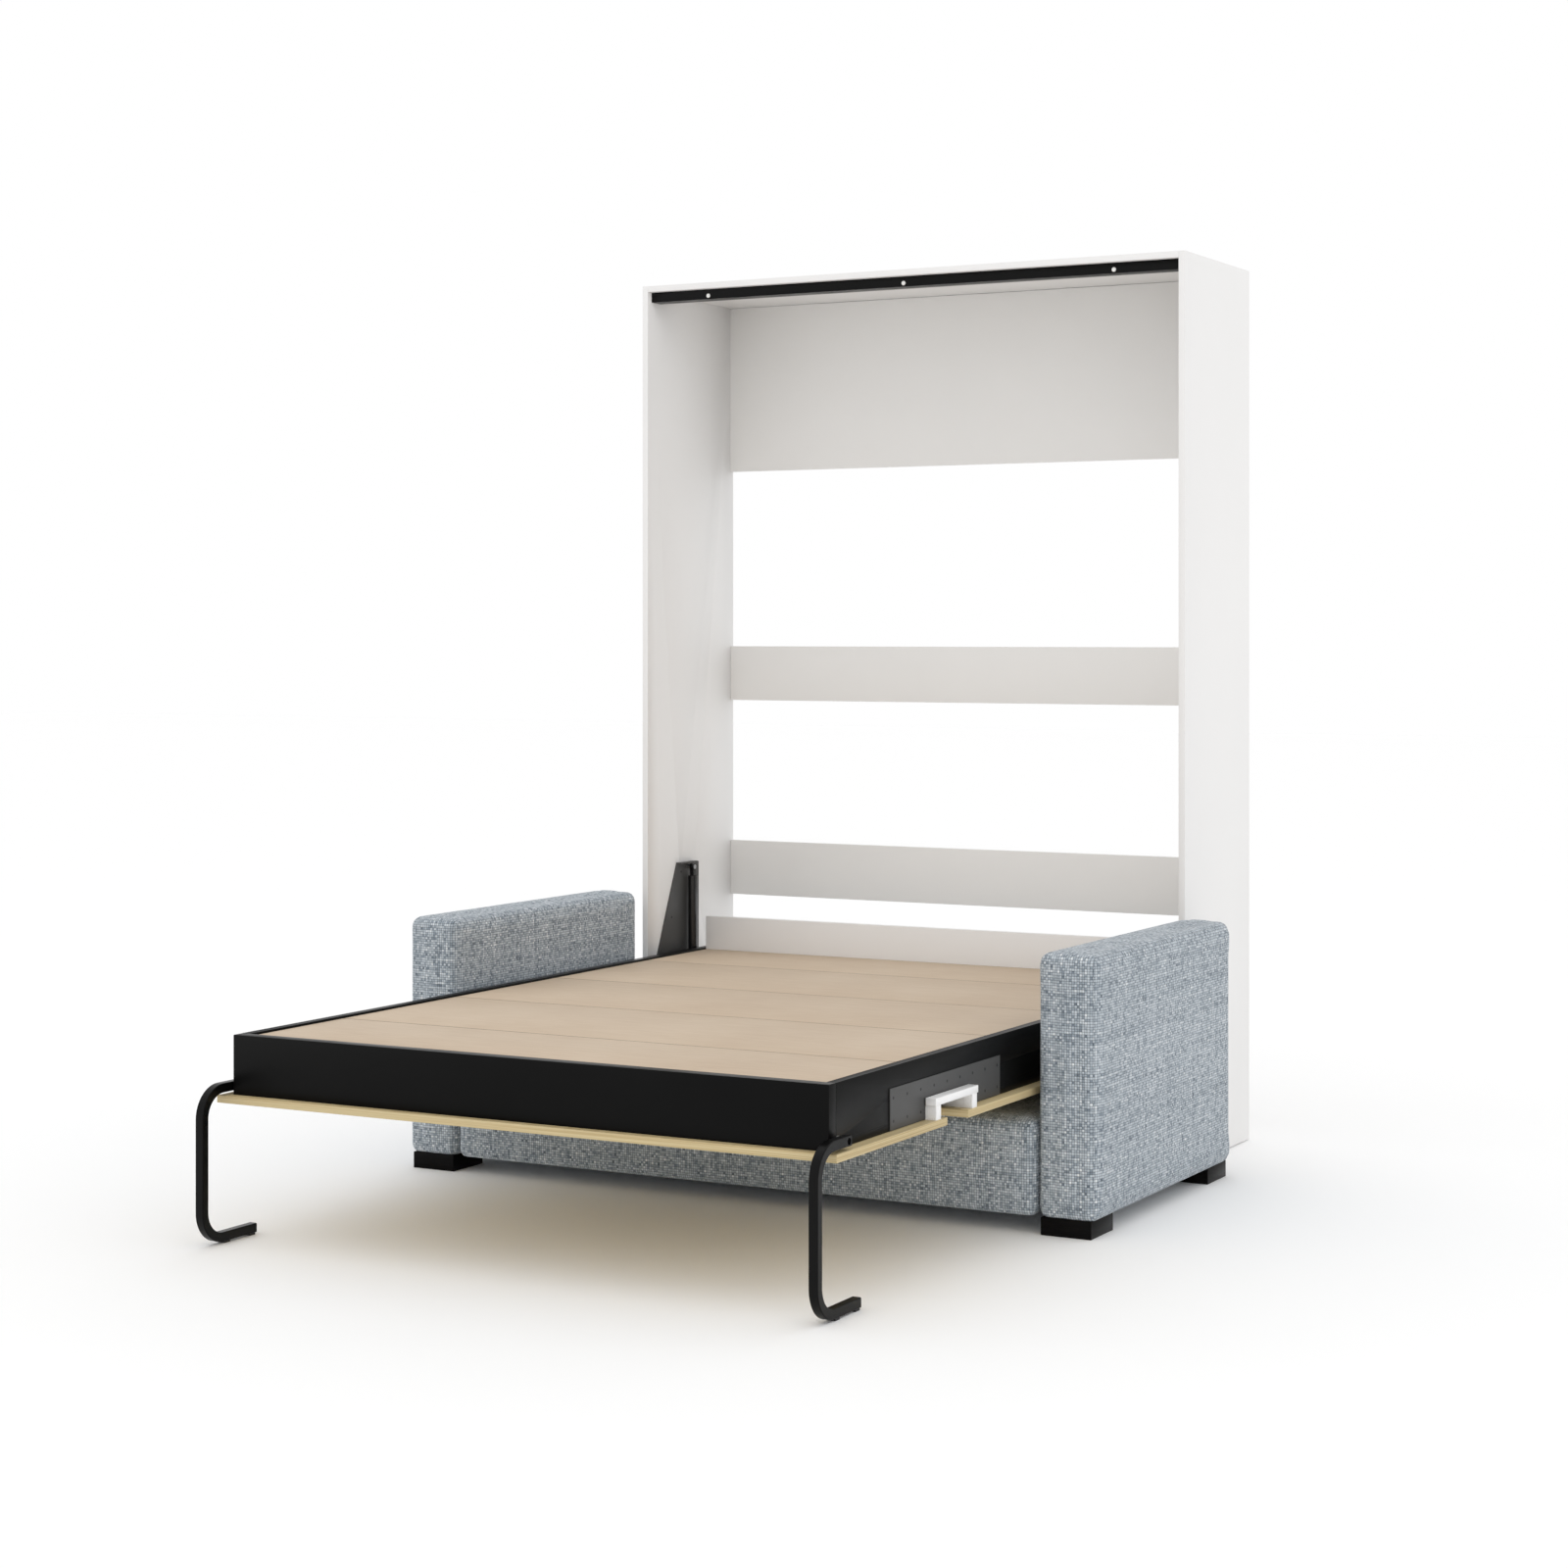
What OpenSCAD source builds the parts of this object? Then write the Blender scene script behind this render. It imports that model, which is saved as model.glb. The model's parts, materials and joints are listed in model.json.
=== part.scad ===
// Wall bed with a sofa base: an open cabinet, a bed that folds up into it on side pivots,
// two flip legs at the foot, gas springs at the head and a low upholstered seat between arms.
// X is across the bed, +Y points from the foot to the wall, +Z is up, all in millimetres.

/* [Bed] */
// Width of the bed frame over its side rails
bed_w = 1427; // [1100:1:1800]
// Length of the bed frame, from the foot rail's outer face to its head end
bed_l = 1997; // [1600:1:2400]
// Height of the side and foot rails
rail_h = 127; // [100:1:160]
// Thickness of the side rails
side_t = 20; // [18:0.5:30]
// Thickness of the foot rail
foot_t = 30; // [20:1:40]
// Thickness of the head rail under the deck
head_t = 20; // [16:1:30]
// Depth of the deck's top below the rails' top
deck_drop = 5; // [2:1:15]
// Thickness of the deck boards
deck_t = 18; // [12:1:22]
// Width of the deck board next to the foot rail
deck_first = 324; // [250:1:400]
// Width of the deck board next to the headboard
deck_last = 345; // [250:1:400]
// Joint line between two deck boards
deck_joint = 1; // [0.5:0.1:2]
// Depth of the beams under the deck
beam_h = 40; // [30:1:60]
// Width of the beams under the deck
beam_w = 60; // [40:1:80]
// Height of the headboard above the rails
headboard_rise = 85; // [40:1:160]
// Distance of the headboard's back from the frame's head end
headboard_in = 18; // [0:1:60]
// Height of the face panel's outer face above the floor with the bed down
panel_z = 296; // [270:1:360]
// Thickness of the face panel
panel_t = 16; // [15:0.5:20]
// How far the face panel runs past the foot rail
panel_foot = 20; // [10:1:30]

/* [Cabinet] */
// Thickness of the cabinet boards
board_t = 16; // [15:0.5:20]
// Depth of the cabinet
cabinet_d = 460; // [440:1:560]
// Gap between the side rail and the cabinet side, for the springs and legs
rail_gap = 34.5; // [33:0.5:60]
// Gap between the face panel's edge and the cabinet side
panel_gap = 7; // [5.5:0.1:8]
// Gap above the closed face panel
top_gap = 10; // [4:1:30]
// Height of the upper back board
upper_board_h = 454; // [300:1:600]
// Gap between the upper back board and the top
top_joint = 2; // [0:0.5:4]
// Height of the cross rails at the back
rail_board_h = 150; // [80:1:200]
// Height of the middle back rail's lower edge above the floor
middle_rail_z = 1105; // [900:1:1300]
// Height of the lower back rail's lower edge above the floor
lower_rail_z = 564; // [540:1:700]
// Height of the plinth board
plinth_h = 110; // [60:1:120]
// Distance of the plinth board and floor rail from the floor
plinth_z = 15; // [5:1:25]
// Set-back of the plinth board
plinth_y = 20; // [10:1:60]
// Height of the glides under the cabinet
glide_h = 3; // [2:0.5:6]
// Radius of the glides under the cabinet
glide_r = 7; // [5:0.5:7.5]

/* [Stop bar] */
// Depth of the stop bar, front to back
stop_d = 47; // [30:1:60]
// Height of the stop bar
stop_h = 26; // [20:1:27]
// Wall of the stop bar
stop_wall = 2; // [1:0.5:3]
// Distance from the closed face panel to the stop bar
stop_y_gap = 3; // [2.5:0.1:6]
// Length that each bumper stands out
bumper_l = 2.5; // [1.5:0.1:2.5]
// Radius of a bumper
bumper_r = 6; // [4:0.5:8]
// Distance of the outer bumpers from the middle
bumper_x = 573; // [300:1:600]

/* [Pivot and springs] */
// Height of the bed pivot above the face panel's outer face
pivot_rise = 61; // [55:1:80]
// Distance of the frame's head end behind the pivot
head_y = 186; // [170:1:220]
// Radius of the bed pivot pin
pivot_r = 8; // [6:0.5:9]
// Radial clearance of every turning pin
run_gap = 0.05; // [0.02:0.01:0.1]
// Radius of the pivot bush
bush_r = 13; // [11:0.5:16]
// Length of the pivot bush
bush_l = 12; // [8:1:16]
// Thickness of the mechanism's plates
plate_t = 3; // [2:0.5:4]
// Distance of the gas spring's pins behind the bed pivot
spring_y = 144; // [120:1:150]
// Distance of the lower stud below the bed pivot
stud_drop = 20; // [10:1:24]
// Length of the gas spring between its eyes with the bed down
spring_l = 320; // [300:1:360]
// Travel of the gas spring's rod
spring_stroke = 153; // [120:1:156]
// Radius of the gas spring's cylinder
cylinder_r = 12; // [10:0.5:12.5]
// Wall of the gas spring's cylinder
cylinder_wall = 2; // [1.5:0.1:2.5]
// Radius of the gas spring's rod
rod_r = 5; // [4:0.5:6]
// Radius of the eyes at the gas spring's ends
eye_r = 8.5; // [7:0.5:10]
// Width of those eyes
eye_w = 11; // [8:0.5:12]
// Radius of the pins in those eyes
eye_pin_r = 4; // [3:0.5:5]

/* [Legs] */
// Width of the legs' square tube
leg_tube = 20; // [18:0.5:22]
// Wall of the legs' tube
leg_wall = 1.5; // [1:0.1:2]
// Outer radius of the tube's corners
leg_corner = 2.5; // [2.1:0.1:4]
// Bend radius on the tube's middle line
leg_bend = 60; // [50:1:80]
// Distance of the leg pivot from the foot rail's outer face
leg_in = 35.2; // [32:0.1:60]
// Height of the leg pivot above the face panel's inner face
leg_rise = 17; // [14:0.5:24]
// How far the tube runs past its pivot
leg_tail = 11.3; // [9:0.1:16]
// Distance of the leg's middle line in front of the foot rail
leg_out = 83; // [75:1:110]
// Length of the straight part on the floor
leg_foot = 108; // [80:1:115]
// Height of the pads under a leg
leg_pad = 4; // [2:0.5:6]
// Gap between the side rail and the leg, filled by a spacer
leg_gap = 5.5; // [5.5:0.5:8]
// Radius of the leg's bolt
leg_bolt_r = 4; // [3:0.5:5]

/* [Handles and side plates] */
// Distance of the steel side plate from the foot rail's outer face
plate_in = 256; // [200:1:300]
// Length of the steel side plate
plate_l = 522; // [480:1:620]
// Height of the steel side plate
plate_h = 83; // [76:1:100]
// Thickness of the steel side plate
side_plate_t = 2; // [1.5:0.5:3]
// Distance between the screws along the side plate
screw_pitch = 61.6; // [50:0.1:62]
// Distance of the handle from the foot rail's outer face
handle_in = 411.5; // [380:0.5:450]
// Length of the handle
handle_l = 202.5; // [160:0.5:240]
// Height of the handle's bar above the face panel
handle_rise = 29.5; // [25:0.5:40]
// Height of the handle's bar
handle_bar_h = 15.5; // [12:0.5:20]
// Width of the handle
handle_w = 24; // [15:0.5:25]
// Step from the handle's bar in to its posts
post_step = 1.5; // [0:0.5:3]
// How far the handle's posts reach in from the face panel's edge, through the side rail
post_in = 70; // [50:1:90]
// Length of each handle post
post_l = 22; // [15:1:30]
// Length of the finger notch in the face panel
notch_l = 100; // [60:1:110]
// How far the finger notch reaches in from the face panel's edge
notch_w = 61; // [40:1:80]

/* [Sofa] */
// Length of the sofa arms and the seat, front to back
sofa_l = 847; // [700:1:950]
// Gap between the sofa and the cabinet
sofa_gap = 30; // [20:1:60]
// Width of a sofa arm
arm_w = 136; // [100:1:160]
// Height of the arms' top above the floor
arm_top = 613; // [500:1:700]
// Gap between the face panel's edge and the arm
arm_gap = 14; // [12:1:60]
// Height of the sofa's underside above the floor
sofa_z = 39; // [30:1:60]
// Gap between the seat and the face panel above it
seat_gap = 49; // [30:1:80]
// Padding over the wooden frames
padding = 22; // [15:1:30]
// Thickness of the sofa's frame boards
core_t = 18; // [15:1:22]
// Width of the sofa's feet
foot_w = 117; // [80:1:120]
// Length of the sofa's feet
foot_l = 124; // [80:1:150]
// Distance of the feet from the arms' ends
foot_inset = 7; // [4:1:30]

/* [Hidden] */
$fn = 48;
SIDES = [-1, 1];
// Clearance of pieces that are fitted and stay put
seat_fit = 0.1;
// Clearance between the wooden frames and their padding
pad_fit = 0.5;
// Smallest gap between faces of pieces that move past each other
slip = 0.3;

// Widths: half distances from the middle plane
rail_x = bed_w / 2;
inner_x = rail_x + rail_gap;
panel_x = inner_x - panel_gap;
arm_x = panel_x + arm_gap;

// Bed: the pivot lies as far behind the cabinet's front as above the panel's outer face
pivot_y = pivot_rise;
pivot_z = panel_z + pivot_rise;
panel_top = panel_z + panel_t;
rail_top = panel_top + rail_h;
frame_end = pivot_y + head_y;
foot_y = frame_end - bed_l;
panel_front = foot_y - panel_foot;
panel_back = frame_end + board_t;
deck_top = rail_top - deck_drop;
deck_z = deck_top - deck_t;
deck_front = foot_y + foot_t;
deck_mid = (frame_end - deck_front - deck_first - deck_last) / 3;
deck_lines = concat([deck_front], [for (i = [0:3]) deck_front + deck_first + i * deck_mid], [frame_end]);

// Cabinet
cabinet_h = pivot_z + pivot_y - panel_front + top_gap + board_t;
under_top = cabinet_h - board_t;
back_y = cabinet_d - board_t;
stop_y = panel_t + stop_y_gap;
stop_z = under_top - stop_h;
bumper_z = stop_z + 9;
wall_hole_r = 3;
wall_hole_deep = 12;
wall_hole_x = 600;
wall_hole_z = 150;
upper_board_mid = under_top - top_joint - upper_board_h / 2;

// Gas springs
spring_x = rail_x + 16.5;
spring_yy = pivot_y + spring_y;
stud_z = pivot_z - stud_drop;
pin_z = stud_z + spring_l;
cylinder_top = pin_z - 24;
guide_l = 12;
piston_l = 12;
cylinder_end = pin_z - 272;
piston_top = cylinder_end + guide_l + spring_stroke + piston_l + 3;
plate_in_x = inner_x - plate_t;
bracket_top = pin_z + 11;
lip_w = 16;
lip_l = 87;

// Legs
leg_x = rail_x + leg_gap;
leg_pivot_y = foot_y + leg_in;
leg_pivot_z = panel_top + leg_rise;
leg_post_y = foot_y - leg_out;
bend_y = leg_post_y + leg_bend;
leg_base_z = leg_pad + leg_tube / 2;
upper_bend_z = leg_pivot_z - leg_bend;
lower_bend_z = leg_base_z + leg_bend;
leg_tail_y = leg_pivot_y + leg_tail;
leg_toe_y = bend_y + leg_foot;
bolt_head_r = 6.5;
bolt_head_l = 5.5;
plug_l = 3.5;
bolt_end_x = rail_x - side_t + 2;

// Side plates and handles
plate_y = foot_y + plate_in;
screw_rows = [panel_top + 18.7, panel_top + 64.4];
screw_first = plate_y + (plate_l - 8 * screw_pitch) / 2;
screw_r = 2;
screw_head_r = 3.3;
screw_head_l = 1.2;
screw_l = 14;
screw_edge = 6;
handle_y = foot_y + handle_in;
handle_x = panel_x - handle_w;
post_inset = 4;
notch_y = handle_y + 53.8;
handle_cut_y = [handle_y + post_inset - seat_fit, handle_y + handle_l - post_inset + seat_fit];
pivot_plate_y = [-32, 172];
pivot_plate_z = [-38, 46];
pivot_plate_screws = [[-20, -26], [-20, 34], [40, -26], [40, 34], [110, 34], [160, 34], [160, -26]];
bracket_screws_at = [[108, 288], [179, 288], [58, 169], [10, 70], [90, 70], [185, 70], [90, -52], [185, -52]];

// Sofa
sofa_back = -sofa_gap;
sofa_front = sofa_back - sofa_l;
seat_top = panel_z - seat_gap;
spacer_h = 100;

// The middle of the whole object, front to back, lies at Y = 0
object_front = leg_post_y - leg_tube / 2;
origin_y = -(object_front + cabinet_d) / 2;

// ---------- helpers ----------

// Moves a piece from the cabinet's front plane to the object's own origin
module place() translate([0, origin_y, 0]) children();

// Puts a right-hand piece on the chosen side of the bed
module on_side(side) place() mirror([side < 0 ? 1 : 0, 0, 0]) children();

// A box from its lowest to its highest corner
module span(low, high) translate(low) cube(high - low);

// A round bar along X, from x0 to x1
module bar_x(r, x0, x1, y, z) translate([x0, y, z]) rotate([0, 90, 0]) cylinder(r = r, h = x1 - x0);

// A plate that stands on edge: an outline of [y, z] points, from x0 to x1
module plate_x(points, x0, x1)
    translate([x0, 0, 0]) rotate([90, 0, 90]) linear_extrude(x1 - x0) polygon(points);

// The places of the screws in a steel side plate
function plate_screw_spots() = [
    for (z = screw_rows, i = [0:8])
        let (y = screw_first + i * screw_pitch)
            if (clear_of_handle(y, z)) [y, z]
];

// Whether a screw at y and z clears the handle's opening
function clear_of_handle(y, z) =
    z > panel_top + handle_rise + screw_edge
    || y < handle_cut_y[0] - screw_edge
    || y > handle_cut_y[1] + screw_edge;

// The places of the screws in a pivot plate
function pivot_screw_spots() = [for (p = pivot_plate_screws) [pivot_y + p[0], pivot_z + p[1]]];

// The places of the screws in a mechanism bracket
function bracket_screw_spots() = [for (p = bracket_screws_at) [pivot_y + p[0], pivot_z + p[1]]];

// A countersunk screw along X with its head flush at x, its tip towards the inside (-1) or the outside (1)
module screw_x(x, tip, spot) translate([x, spot[0], spot[1]]) rotate([0, tip * 90, 0]) {
    cylinder(r = screw_r, h = screw_l);
    cylinder(r1 = screw_head_r, r2 = screw_r, h = screw_head_l);
}

// The countersunk hole for that screw through a plate whose outer face is at x
module screw_hole(x, tip, spot, depth) translate([x, spot[0], spot[1]]) rotate([0, tip * 90, 0]) {
    translate([0, 0, -1]) cylinder(r = screw_r + seat_fit, h = depth + 2);
    cylinder(r1 = screw_head_r + seat_fit, r2 = screw_r + seat_fit, h = screw_head_l);
}

// ---------- cabinet ----------

module cabinet_side(side) color("white") on_side(side) difference() {
    span([inner_x, 0, glide_h], [inner_x + board_t, cabinet_d, cabinet_h]);
    for (spot = bracket_screw_spots())
        bar_x(screw_r + seat_fit, inner_x - 1, plate_in_x + screw_l + 1, spot[0], spot[1]);
}

module cabinet_top() color("white") place()
    span([-inner_x, 0, under_top], [inner_x, cabinet_d, cabinet_h]);

module back_board(z0, z1) color("whitesmoke") place()
    span([-inner_x, back_y, z0], [inner_x, cabinet_d, z1]);

module upper_back_board() difference() {
    back_board(under_top - top_joint - upper_board_h, under_top - top_joint);
    place() for (x = SIDES, z = SIDES)
        translate([x * wall_hole_x, cabinet_d + 1, upper_board_mid + z * wall_hole_z])
            rotate([90, 0, 0]) cylinder(r = wall_hole_r, h = wall_hole_deep + 1);
}

module middle_back_rail() back_board(middle_rail_z, middle_rail_z + rail_board_h);

module lower_back_rail() back_board(lower_rail_z, lower_rail_z + rail_board_h);

module floor_back_rail() back_board(plinth_z, plinth_z + plinth_h);

module plinth_board() color("white") place()
    span([-inner_x, plinth_y, plinth_z], [inner_x, plinth_y + board_t, plinth_z + plinth_h]);

module cabinet_glides() color("dimgray") place()
    for (s = SIDES, y = [30, cabinet_d - 30])
        translate([s * (inner_x + board_t / 2), y, 0]) cylinder(r = glide_r, h = glide_h);

module stop_bar() color("black") place() difference() {
    span([-inner_x, stop_y, stop_z], [inner_x, stop_y + stop_d, under_top]);
    span([-inner_x - 1, stop_y + stop_wall, stop_z + stop_wall],
        [inner_x + 1, stop_y + stop_d - stop_wall, under_top - stop_wall]);
}

module stop_bumpers() color("white") place()
    for (i = [-1:1])
        translate([i * bumper_x, stop_y, bumper_z]) rotate([90, 0, 0])
            cylinder(r1 = bumper_r, r2 = bumper_r - 1.5, h = bumper_l);

// ---------- bed mechanism on the cabinet ----------

module mechanism_bracket(side) color("dimgray") on_side(side) difference() {
    union() {
        plate_x([[147, bracket_top], [263, bracket_top], [263, pivot_z - 67], [24, pivot_z - 67],
            [24, pivot_z + 45], [47, pivot_z + 78]], plate_in_x, inner_x);
        span([inner_x - lip_w, 147, bracket_top], [inner_x, 147 + lip_l, bracket_top + plate_t]);
    }
    for (spot = bracket_screw_spots()) screw_hole(plate_in_x, 1, spot, plate_t);
    bar_x(eye_pin_r + seat_fit, plate_in_x - 1, inner_x + 1, spring_yy, pin_z);
}

module bracket_screws() color("silver")
    for (s = SIDES, spot = bracket_screw_spots()) on_side(s) screw_x(plate_in_x, 1, spot);

module pivot_bushes() color("gray") for (s = SIDES) on_side(s) difference() {
    bar_x(bush_r, plate_in_x - bush_l, plate_in_x, pivot_y, pivot_z);
    bar_x(pivot_r + run_gap, plate_in_x - bush_l - 1, plate_in_x + 1, pivot_y, pivot_z);
}

module spring_top_pins() color("silver") for (s = SIDES) on_side(s) {
    bar_x(eye_pin_r, spring_x - eye_w / 2 - 2, inner_x, spring_yy, pin_z);
    bar_x(eye_pin_r + 2, spring_x + eye_w / 2 + slip, plate_in_x, spring_yy, pin_z);
    bar_x(eye_pin_r + 2, spring_x - eye_w / 2 - 2 - slip, spring_x - eye_w / 2 - slip, spring_yy, pin_z);
}

// ---------- sofa ----------

module sofa_spacers() color("burlywood") for (s = SIDES) on_side(s)
    span([inner_x, sofa_back, seat_top - spacer_h - 20], [inner_x + board_t, 0, seat_top - 20]);

// Padding over a wooden frame, open at the bottom
module padded_box(low, high) difference() {
    span(low, high);
    span([low[0] + padding, low[1] + padding, low[2] - 1], high - [padding, padding, padding]);
}

// The frame of boards inside that padding, open at the top and the bottom
module core_box(low, high) {
    inset = padding + pad_fit;
    a = low + [inset, inset, 0];
    b = high - [inset, inset, inset];
    difference() {
        span(a, b);
        span([a[0] + core_t, a[1] + core_t, a[2] - 1], [b[0] - core_t, b[1] - core_t, b[2] + 1]);
    }
}

module seat_upholstery() color("lightsteelblue") place()
    padded_box([-arm_x + pad_fit, sofa_front, sofa_z], [arm_x - pad_fit, sofa_back, seat_top]);

module seat_frame() color("burlywood") place() {
    core_box([-arm_x + pad_fit, sofa_front, sofa_z], [arm_x - pad_fit, sofa_back, seat_top]);
    for (i = [-1:1])
        span([i * arm_x / 2 - core_t / 2, sofa_front + padding + pad_fit + core_t, sofa_z],
            [i * arm_x / 2 + core_t / 2, sofa_back - padding - pad_fit - core_t,
            seat_top - padding - pad_fit]);
}

module arm_upholstery(side) color("lightsteelblue") on_side(side)
    padded_box([arm_x, sofa_front, sofa_z], [arm_x + arm_w, sofa_back, arm_top]);

module arm_frame(side) color("burlywood") on_side(side)
    core_box([arm_x, sofa_front, sofa_z], [arm_x + arm_w, sofa_back, arm_top]);

module sofa_feet(side) color("black") on_side(side)
    for (y = [sofa_front + foot_inset, sofa_back - foot_inset - foot_l])
        span([arm_x + (arm_w - foot_w) / 2, y, 0], [arm_x + (arm_w + foot_w) / 2, y + foot_l, sofa_z]);

// ---------- bed ----------

module front_panel() color("tan") place() difference() {
    span([-panel_x, panel_front, panel_z], [panel_x, panel_back, panel_top]);
    for (s = SIDES) mirror([s < 0 ? 1 : 0, 0, 0])
        span([panel_x - notch_w, notch_y, panel_z - 1], [panel_x + 1, notch_y + notch_l, panel_top + 1]);
}

module frame_side(side) color("black") on_side(side) difference() {
    span([rail_x - side_t, foot_y + foot_t, panel_top], [rail_x, frame_end, rail_top]);
    handle_cut();
    for (spot = plate_screw_spots())
        bar_x(screw_r + seat_fit, rail_x - screw_l, rail_x + 1, spot[0], spot[1]);
    for (spot = pivot_screw_spots())
        bar_x(screw_r + seat_fit, rail_x - screw_l, rail_x + 1, spot[0], spot[1]);
    bar_x(pivot_r + seat_fit, rail_x - side_t - 1, rail_x + 1, pivot_y, pivot_z);
    bar_x(eye_pin_r + seat_fit, rail_x - side_t - 1, rail_x + 1, spring_yy, stud_z);
    bar_x(leg_bolt_r + seat_fit, rail_x - side_t - 1, rail_x + 1, leg_pivot_y, leg_pivot_z);
}

module frame_foot_rail() color("black") place()
    span([-rail_x, foot_y, panel_top], [rail_x, foot_y + foot_t, rail_top]);

module frame_head_rail() color("black") place()
    span([side_t - rail_x, frame_end - head_t, panel_top], [rail_x - side_t, frame_end, deck_z]);

module cross_beams() color("dimgray") place()
    for (i = [1:4])
        span([side_t - rail_x, deck_lines[i] - beam_w / 2, deck_z - beam_h],
            [rail_x - side_t, deck_lines[i] + beam_w / 2, deck_z]);

module deck_board(i) color("bisque") place()
    span([side_t - rail_x + seat_fit, deck_lines[i - 1] + deck_joint / 2, deck_z],
        [rail_x - side_t - seat_fit, deck_lines[i] - deck_joint / 2, deck_top]);

module headboard() color("white") place()
    span([side_t - rail_x + seat_fit, frame_end - headboard_in - board_t, deck_top],
        [rail_x - side_t - seat_fit, frame_end - headboard_in, rail_top + headboard_rise]);

// The opening in a side rail and its plate that takes both posts, and the fingers between them
module handle_cut()
    span([rail_x - side_t - 1, handle_cut_y[0], panel_top - 1],
        [rail_x + side_plate_t + 1, handle_cut_y[1], panel_top + handle_rise + seat_fit]);

module side_plate(side) color("dimgray") on_side(side) difference() {
    span([rail_x, plate_y, panel_top + 1],
        [rail_x + side_plate_t, plate_y + plate_l, panel_top + 1 + plate_h]);
    handle_cut();
    for (spot = plate_screw_spots()) screw_hole(rail_x + side_plate_t, -1, spot, side_plate_t);
}

module plate_screws() color("silver") for (s = SIDES) on_side(s) {
    for (spot = plate_screw_spots()) screw_x(rail_x + side_plate_t, -1, spot);
    for (spot = pivot_screw_spots()) screw_x(rail_x + plate_t, -1, spot);
}

module handle_bar(side) color("white") on_side(side)
    span([handle_x, handle_y, panel_top + handle_rise],
        [panel_x, handle_y + handle_l, panel_top + handle_rise + handle_bar_h]);

module handle_posts() color("white") for (s = SIDES) on_side(s)
    for (y = [handle_y + post_inset, handle_y + handle_l - post_inset - post_l])
        span([panel_x - post_in, y, panel_top],
            [panel_x - post_step, y + post_l, panel_top + handle_rise]);

// ---------- bed mechanism on the bed ----------

module pivot_plate(side) color("dimgray") on_side(side) difference() {
    span([rail_x, pivot_y + pivot_plate_y[0], pivot_z + pivot_plate_z[0]],
        [rail_x + plate_t, pivot_y + pivot_plate_y[1], pivot_z + pivot_plate_z[1]]);
    for (spot = pivot_screw_spots()) screw_hole(rail_x + plate_t, -1, spot, plate_t);
    bar_x(pivot_r + seat_fit, rail_x - 1, rail_x + plate_t + 1, pivot_y, pivot_z);
    bar_x(eye_pin_r + seat_fit, rail_x - 1, rail_x + plate_t + 1, spring_yy, stud_z);
}

module pivot_pins() color("silver") for (s = SIDES) on_side(s) {
    bar_x(pivot_r, rail_x - side_t + 2, plate_in_x - slip, pivot_y, pivot_z);
    bar_x(bush_r, rail_x + plate_t, plate_in_x - bush_l - slip * 2, pivot_y, pivot_z);
}

module spring_studs() color("silver") for (s = SIDES) on_side(s) {
    bar_x(eye_pin_r, rail_x - side_t + 2, spring_x - eye_w / 2 - 0.5, spring_yy, stud_z);
    bar_x(eye_pin_r + 3, rail_x + plate_t, rail_x + plate_t + 2, spring_yy, stud_z);
}

module leg_bolts() color("silver") for (s = SIDES) on_side(s) {
    bar_x(leg_bolt_r, bolt_end_x, leg_x + leg_wall + slip + 0.1, leg_pivot_y, leg_pivot_z);
    bar_x(bolt_head_r, leg_x + leg_wall + slip, leg_x + leg_wall + slip + bolt_head_l,
        leg_pivot_y, leg_pivot_z);
}

module leg_spacers() color("gray") for (s = SIDES) on_side(s) difference() {
    bar_x(leg_bolt_r + 5, rail_x, leg_x - slip, leg_pivot_y, leg_pivot_z);
    bar_x(leg_bolt_r + seat_fit, rail_x - 1, leg_x, leg_pivot_y, leg_pivot_z);
}

// ---------- legs ----------

// The cross-section of the square bar, centred, with round corners
module bar_section(width, corner) {
    flat = width - 2 * corner;
    square([width, flat], center = true);
    square([flat, width], center = true);
    for (x = [-1, 1], y = [-1, 1]) translate([x * flat / 2, y * flat / 2]) circle(r = corner, $fn = 24);
}

// A straight piece of that bar from a point, along Y or up Z
module straight(width, corner, start, length, upright) translate([leg_x + leg_tube / 2, start[0], start[1]])
    rotate([upright ? 0 : -90, 0, 0]) linear_extrude(length) bar_section(width, corner);

// A quarter bend of square bar about the middle (y, z), turned by the given angle
module bend(width, corner, y, z, turn) translate([leg_x + leg_tube / 2, y, z]) rotate([turn, 0, 0])
    rotate([90, 0, 90]) rotate_extrude(angle = 90) translate([leg_bend, 0]) bar_section(width, corner);

// A C-shaped square bar along the leg's middle line
module leg_bar(width, corner, over) {
    straight(width, corner, [bend_y, leg_pivot_z], leg_tail_y - bend_y + over, false);
    straight(width, corner, [leg_post_y, lower_bend_z], upper_bend_z - lower_bend_z, true);
    straight(width, corner, [bend_y, leg_base_z], leg_foot + over, false);
    bend(width, corner, bend_y, upper_bend_z, 90);
    bend(width, corner, bend_y, lower_bend_z, 180);
}

module leg_tube_part(side) color("black") on_side(side) difference() {
    leg_bar(leg_tube, leg_corner, 0);
    leg_bar(leg_tube - 2 * leg_wall, leg_corner - leg_wall, 1);
    bar_x(leg_bolt_r + run_gap, leg_x - 1, leg_x + leg_wall + 1, leg_pivot_y, leg_pivot_z);
    bar_x(bolt_head_r + 0.5, leg_x + leg_tube - leg_wall - 1, leg_x + leg_tube + 1, leg_pivot_y, leg_pivot_z);
}

module leg_caps(side) color("black") on_side(side) {
    inner = leg_tube - 2 * leg_wall - 2 * seat_fit;
    for (end = [[leg_tail_y, leg_pivot_z], [leg_toe_y, leg_base_z]])
        straight(inner, leg_corner - leg_wall, [end[0] - plug_l, end[1]], plug_l, false);
    for (y = [bend_y + 3, leg_toe_y - 22])
        span([leg_x + 1, y, 0], [leg_x + leg_tube - 1, y + 18, leg_pad]);
}

// ---------- gas springs ----------

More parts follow.
